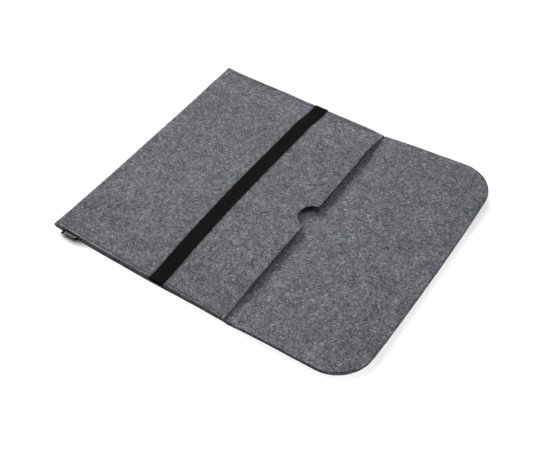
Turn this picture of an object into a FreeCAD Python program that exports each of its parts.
import FreeCAD, Part
import math
import os
from FreeCAD import Vector

# Felt laptop sleeve lying open on its back.
# Origin at the centre of the pocket's underside, where the sleeve rests.
# +X runs from the bottom fold to the mouth and the open flap, +Y across the
# sleeve, +Z up.  "Near" is the -Y side, "far" the +Y side.  Millimetres.

# overall
WIDTH = 350.0            # side edge to side edge
POCKET_DEPTH = 248.0     # bottom fold to mouth edge
FELT = 3.0               # felt thickness
OVERCUT = 1.0            # how far a cutter reaches past the face it opens

# pocket opening
GAP = 4.5                # how far the empty pocket stands open at its middle
GAP_FULL_Y = 105.0       # half width over which it stands fully open
GAP_END_Y = 165.5        # half width where front and back felt meet
TAPER_STEPS = 12         # sample steps where the pocket tapers shut
MIDDLE_STEPS = 6         # sample steps where it stands fully open

# bottom fold and thumb notch
FOLD_LAND = 6.0          # length of the folded strip
VOID_MIN_GAP = 0.2       # the fold is hollow where the gap is wider than this
NOTCH_R = 17.0
NOTCH_DEPTH = 16.0       # from the mouth edge

# flap
FLAP_LENGTH = 161.0      # mouth crease to flap end, at the flap's corners
FLAP_SIDE_EASE = 0.4     # narrower than the pocket by this, each side
FLAP_CORNER_R = 45.0
FLAP_END_BOW = 2.5       # the end edge is slightly convex
FLAP_RISE_SLOPE = 0.134  # the open flap springs up from its crease ...
FLAP_RISE_FALL = 9.34    # ... and levels out towards its end
FLAP_STEPS = 12          # sample steps along the rise
CREASE_CLEAR = 0.03      # air between the back panel and the flap

# seams
SEAM_INSET = 5.0         # stitch line from the side edge
SEAM_START_X = -116.5
SEAM_STITCHES = 59
STITCH_PITCH = 4.0
STITCH_CORNER = 0.3      # chamfer where the thread turns into a needle hole
NEEDLE_HOLE_HALF = 0.30  # half the spacing of the two legs in one needle hole
THREAD_R = 0.25
THREAD_CLEAR = 0.02      # thread to felt surface, and thread to thread
GROOVE_W = 1.0           # the stitches lie in a shallow pulled-in groove
GROOVE_D = 0.5
GROOVE_END = 1.0         # groove length past the first and last stitch

# elastic strap
STRAP_W = 20.0
STRAP_T = 1.0
STRAP_X = 28.2           # centre line
STRAP_CLEAR = 0.1        # air between the strap and what it lies on
STRAP_FOOT_CLEAR = 0.05  # foot of the wrapped leg above the back panel's top
STRAP_SEWN = 9.0         # length held inside each side seam
STRAP_CORNER_R = 0.25    # inside radius

# woven side label
LABEL_W = 24.0
LABEL_X = -98.5          # centre
LABEL_T = 0.6            # folded double
LABEL_OUT = 5.2          # free length past the side edge
LABEL_SEWN = 8.0
LABEL_PIVOT = 0.32       # bend line outside the side edge
LABEL_SLIT_HALF = 0.05   # half the slit between the two ribbon layers
LABEL_SLIT_STOP = 0.6    # unslit length outside the bend line

# recesses that hold the strap ends and the label root
RECESS_EASE = 0.02       # clearance round each sewn end
RECESS_OVERLAP = 1e-3    # the cutter dips this far below the front panel

half_width = WIDTH / 2.0
mouth_x = POCKET_DEPTH / 2.0
bottom_x = -POCKET_DEPTH / 2.0
land_x = bottom_x + FOLD_LAND
flap_start_x = mouth_x + CREASE_CLEAR
seam_y = half_width - SEAM_INSET
strap_x0, strap_x1 = STRAP_X - STRAP_W / 2.0, STRAP_X + STRAP_W / 2.0
label_x0, label_x1 = LABEL_X - LABEL_W / 2.0, LABEL_X + LABEL_W / 2.0
DIAGONAL = math.sqrt(0.5)   # sine and cosine of 45 degrees


# ---- shape helpers --------------------------------------------------------
def line(start, end):
    return Part.makeLine(start, end)


def arc(start, middle, end):
    return Part.Arc(start, middle, end).toShape()


def spline(points):
    curve = Part.BSplineCurve()
    curve.interpolate(points)
    return curve.toShape()


def box(x0, x1, y0, y1, z0, z1):
    return Part.makeBox(x1 - x0, y1 - y0, z1 - z0, Vector(x0, y0, z0))


def extrude(edges, direction):
    return Part.Face(Part.Wire(edges)).extrude(direction)


def save(shape, name):
    """Write one piece, taken out of its compound if it is the only solid."""
    if shape.ShapeType == "Compound" and len(shape.Solids) == 1:
        shape = shape.Solids[0]
    shape.exportStep("parts/%s.step" % name)


# ---- pocket opening -------------------------------------------------------
def gap(y):
    """Opening between the two felt layers at y."""
    distance = abs(y)
    if distance <= GAP_FULL_Y:
        return GAP
    if distance >= GAP_END_Y:
        return 0.0
    taper = (distance - GAP_FULL_Y) / (GAP_END_Y - GAP_FULL_Y)
    return GAP * 0.5 * (1.0 + math.cos(math.pi * taper))


def sample_positions():
    """Y positions across the pocket, denser where it tapers shut."""
    taper = [GAP_FULL_Y + (GAP_END_Y - GAP_FULL_Y) * i / TAPER_STEPS
             for i in range(TAPER_STEPS + 1)]
    middle = [-GAP_FULL_Y + 2 * GAP_FULL_Y * i / MIDDLE_STEPS
              for i in range(1, MIDDLE_STEPS)]
    return [-y for y in reversed(taper)] + middle + taper


pocket_ys = sample_positions()


def crown(x, base_z):
    """Spline edge across the sleeve at base_z plus the pocket gap."""
    return spline([Vector(x, y, base_z + gap(y)) for y in pocket_ys])


# ---- felt panels ----------------------------------------------------------
def seam_groove(side, z0, z1):
    y = side * seam_y
    seam_end_x = SEAM_START_X + SEAM_STITCHES * STITCH_PITCH
    return box(SEAM_START_X - GROOVE_END, seam_end_x + GROOVE_END,
               y - GROOVE_W / 2, y + GROOVE_W / 2, z0, z1)


def back_panel():
    """Flat panel the sleeve lies on, grooved along its underside."""
    panel = box(land_x, mouth_x, -half_width, half_width, 0.0, FELT)
    for side in (-1, 1):
        panel = panel.cut(seam_groove(side, -OVERCUT, GROOVE_D))
    return panel


def sewn_recess(x0, x1, y0, y1, thickness):
    """Cutter in the front panel's underside round a sewn-in end."""
    return box(x0 - RECESS_EASE, x1 + RECESS_EASE, y0, y1,
               FELT - RECESS_OVERLAP, FELT + thickness + RECESS_EASE)


def front_panel():
    """Upper panel, flat at both sides and crowned over the pocket."""
    def point(y, z):
        return Vector(land_x, y, z)

    low, high = FELT, 2 * FELT
    panel = extrude([
        line(point(-half_width, low), point(-GAP_END_Y, low)),
        crown(land_x, low),
        line(point(GAP_END_Y, low), point(half_width, low)),
        line(point(half_width, low), point(half_width, high)),
        line(point(half_width, high), point(GAP_END_Y, high)),
        crown(land_x, high),
        line(point(-GAP_END_Y, high), point(-half_width, high)),
        line(point(-half_width, high), point(-half_width, low)),
    ], Vector(mouth_x - land_x, 0, 0))

    # thumb notch, by a cylinder that passes right through the panel
    panel = panel.cut(Part.makeCylinder(
        NOTCH_R, 40, Vector(mouth_x - NOTCH_DEPTH + NOTCH_R, 0, -5)))

    for side in (-1, 1):
        y0, y1 = sorted((side * (half_width + OVERCUT),
                         side * (half_width - STRAP_SEWN - RECESS_EASE)))
        panel = panel.cut(sewn_recess(strap_x0, strap_x1, y0, y1, STRAP_T))
    panel = panel.cut(sewn_recess(
        label_x0, label_x1, -half_width - OVERCUT,
        -half_width + LABEL_SEWN + RECESS_EASE, LABEL_T))

    for side in (-1, 1):
        panel = panel.cut(seam_groove(side, high - GROOVE_D, high + OVERCUT))
    return panel


# ---- bottom fold ----------------------------------------------------------
def fold_section(y, inset, end_x):
    """U-shaped section at y, set in from the felt's outer surface."""
    outer_radius = (2 * FELT + gap(y)) / 2.0
    centre_x = bottom_x + outer_radius
    radius = outer_radius - inset
    low, high = inset, 2 * outer_radius - inset
    return Part.Wire([
        line(Vector(end_x, y, low), Vector(centre_x, y, low)),
        arc(Vector(centre_x, y, low), Vector(centre_x - radius, y, outer_radius),
            Vector(centre_x, y, high)),
        line(Vector(centre_x, y, high), Vector(end_x, y, high)),
        line(Vector(end_x, y, high), Vector(end_x, y, low)),
    ])


def bottom_fold():
    """Felt turning half round from the back panel to the front panel."""
    body = Part.makeLoft([fold_section(y, 0.0, land_x)
                          for y in [-half_width] + pocket_ys + [half_width]], True, True)
    void = Part.makeLoft([fold_section(y, FELT, land_x + OVERCUT)
                          for y in pocket_ys if gap(y) > VOID_MIN_GAP], True, True)
    return body.cut(void)


# ---- flap -----------------------------------------------------------------
def rise(distance):
    """Height of the flap's underside at a distance from the crease."""
    return FLAP_RISE_SLOPE * distance - FLAP_RISE_FALL * (distance / FLAP_LENGTH) ** 2


def flap():
    """One felt layer beyond the crease: a curved slab trimmed to the outline."""
    end_overrun, side_overrun = 2.0, 5.0
    slab_length = FLAP_LENGTH + FLAP_END_BOW + end_overrun
    distances = [slab_length * i / FLAP_STEPS for i in range(FLAP_STEPS + 1)]
    low = [Vector(flap_start_x + distance, -half_width - side_overrun, rise(distance))
           for distance in distances]
    high = [point + Vector(0, 0, FELT) for point in low]
    slab = extrude([
        spline(low),
        line(low[-1], high[-1]),
        spline(high),
        line(high[0], low[0]),
    ], Vector(0, 2 * (half_width + side_overrun), 0))

    def point(x, y):
        return Vector(x, y, -5.0)   # outline plane, below the flap

    start_x = flap_start_x - OVERCUT
    end_x = mouth_x + FLAP_LENGTH
    side_y = half_width - FLAP_SIDE_EASE
    corner_x, corner_y = end_x - FLAP_CORNER_R, side_y - FLAP_CORNER_R
    corner_inset = FLAP_CORNER_R * (1 - DIAGONAL)
    middle_x, middle_y = end_x - corner_inset, side_y - corner_inset
    outline = extrude([
        line(point(start_x, -side_y), point(corner_x, -side_y)),
        arc(point(corner_x, -side_y), point(middle_x, -middle_y), point(end_x, -corner_y)),
        arc(point(end_x, -corner_y), point(end_x + FLAP_END_BOW, 0), point(end_x, corner_y)),
        arc(point(end_x, corner_y), point(middle_x, middle_y), point(corner_x, side_y)),
        line(point(corner_x, side_y), point(start_x, side_y)),
        line(point(start_x, side_y), point(start_x, -side_y)),
    ], Vector(0, 0, 40))
    return slab.common(outline)


# ---- elastic strap --------------------------------------------------------
def strap_end(y0, y1):
    """Strap end held between the two felt layers."""
    return box(strap_x0, strap_x1, y0, y1, FELT, FELT + STRAP_T)


def strap_band():
    """Band across the front panel, wrapped down round its side edges."""
    inner_z = 2 * FELT + STRAP_CLEAR
    outer_z = inner_z + STRAP_T
    inner_y = half_width + STRAP_CLEAR
    outer_y = inner_y + STRAP_T
    foot_z = FELT + STRAP_FOOT_CLEAR
    outer_radius = STRAP_CORNER_R + STRAP_T
    bend_y, bend_z = inner_y - STRAP_CORNER_R, inner_z - STRAP_CORNER_R

    def point(y, z):
        return Vector(strap_x0, y, z)

    def corner(side, radius, upward):
        leg = point(side * (bend_y + radius), bend_z)
        middle = point(side * (bend_y + radius * DIAGONAL), bend_z + radius * DIAGONAL)
        top = point(side * bend_y, bend_z + radius)
        return arc(leg, middle, top) if upward else arc(top, middle, leg)

    return extrude([
        line(point(-inner_y, foot_z), point(-inner_y, bend_z)),
        corner(-1, STRAP_CORNER_R, True),
        line(point(-bend_y, inner_z), point(-GAP_END_Y, inner_z)),
        crown(strap_x0, inner_z),
        line(point(GAP_END_Y, inner_z), point(bend_y, inner_z)),
        corner(1, STRAP_CORNER_R, False),
        line(point(inner_y, bend_z), point(inner_y, foot_z)),
        line(point(inner_y, foot_z), point(outer_y, foot_z)),
        line(point(outer_y, foot_z), point(outer_y, bend_z)),
        corner(1, outer_radius, True),
        line(point(bend_y, outer_z), point(GAP_END_Y, outer_z)),
        crown(strap_x0, outer_z),
        line(point(-GAP_END_Y, outer_z), point(-bend_y, outer_z)),
        corner(-1, outer_radius, False),
        line(point(-outer_y, bend_z), point(-outer_y, foot_z)),
        line(point(-outer_y, foot_z), point(-inner_y, foot_z)),
    ], Vector(STRAP_W, 0, 0))


# ---- woven label ----------------------------------------------------------
def label_root():
    """Label end held in the near seam."""
    return box(label_x0, label_x1, -half_width, -half_width + LABEL_SEWN,
               FELT, FELT + LABEL_T)


def label_tab():
    """Free tab outside the near edge, rounded at both ends."""
    radius = LABEL_T / 2.0
    middle_z = FELT + radius
    root_y = -half_width - LABEL_PIVOT
    tip_y = -half_width - LABEL_OUT + radius
    diagonal = radius * DIAGONAL

    def point(y, height):
        return Vector(label_x0, y, middle_z + height)

    tab = extrude([
        arc(point(root_y, radius), point(root_y + diagonal, diagonal),
            point(root_y + radius, 0)),
        arc(point(root_y + radius, 0), point(root_y + diagonal, -diagonal),
            point(root_y, -radius)),
        line(point(root_y, -radius), point(tip_y, -radius)),
        arc(point(tip_y, -radius), point(tip_y - radius, 0), point(tip_y, radius)),
        line(point(tip_y, radius), point(root_y, radius)),
    ], Vector(LABEL_W, 0, 0))
    # the ribbon is folded at the tip, so a slit separates its two layers
    return tab.cut(box(label_x0 - OVERCUT, label_x1 + OVERCUT,
                       tip_y, root_y - LABEL_SLIT_STOP,
                       middle_z - LABEL_SLIT_HALF, middle_z + LABEL_SLIT_HALF))


# ---- lockstitch threads ---------------------------------------------------
def thread(y, up):
    """Needle thread on the front (up = 1) or bobbin thread on the back (-1).

    Both dip into each needle hole to the middle of the felt.
    """
    depth = THREAD_R + THREAD_CLEAR
    bar_z = 2 * FELT - depth if up > 0 else depth
    turn_z = FELT + up * depth
    leg_z = bar_z - up * STITCH_CORNER
    points = []
    for i in range(SEAM_STITCHES):
        start = SEAM_START_X + i * STITCH_PITCH + NEEDLE_HOLE_HALF
        end = SEAM_START_X + (i + 1) * STITCH_PITCH - NEEDLE_HOLE_HALF
        points += [Vector(start, y, turn_z), Vector(start, y, leg_z),
                   Vector(start + STITCH_CORNER, y, bar_z),
                   Vector(end - STITCH_CORNER, y, bar_z),
                   Vector(end, y, leg_z), Vector(end, y, turn_z)]
    path = Part.makePolygon(points)

    angles = [math.radians(60 * i + 30) for i in range(6)]
    hexagon = [points[0] + Vector(THREAD_R * math.cos(angle), THREAD_R * math.sin(angle), 0)
               for angle in angles]
    section = Part.makePolygon(hexagon + [hexagon[0]])
    # solid, no Frenet frame, mitred corners
    return path.makePipeShell([section], True, False, 1)


os.makedirs("parts", exist_ok=True)
save(front_panel(), "front_panel")
save(back_panel(), "back_panel")
save(bottom_fold(), "bottom_fold")
save(flap(), "flap")
save(strap_band(), "strap_band")
save(strap_end(-half_width, -half_width + STRAP_SEWN), "strap_sewn_end_near")
save(strap_end(half_width - STRAP_SEWN, half_width), "strap_sewn_end_far")
save(label_root(), "label_sewn_root")
save(label_tab(), "label_tab")
for side_name, side in (("near", -1), ("far", 1)):
    save(thread(side * seam_y, 1), "seam_needle_thread_" + side_name)
    save(thread(side * seam_y, -1), "seam_bobbin_thread_" + side_name)
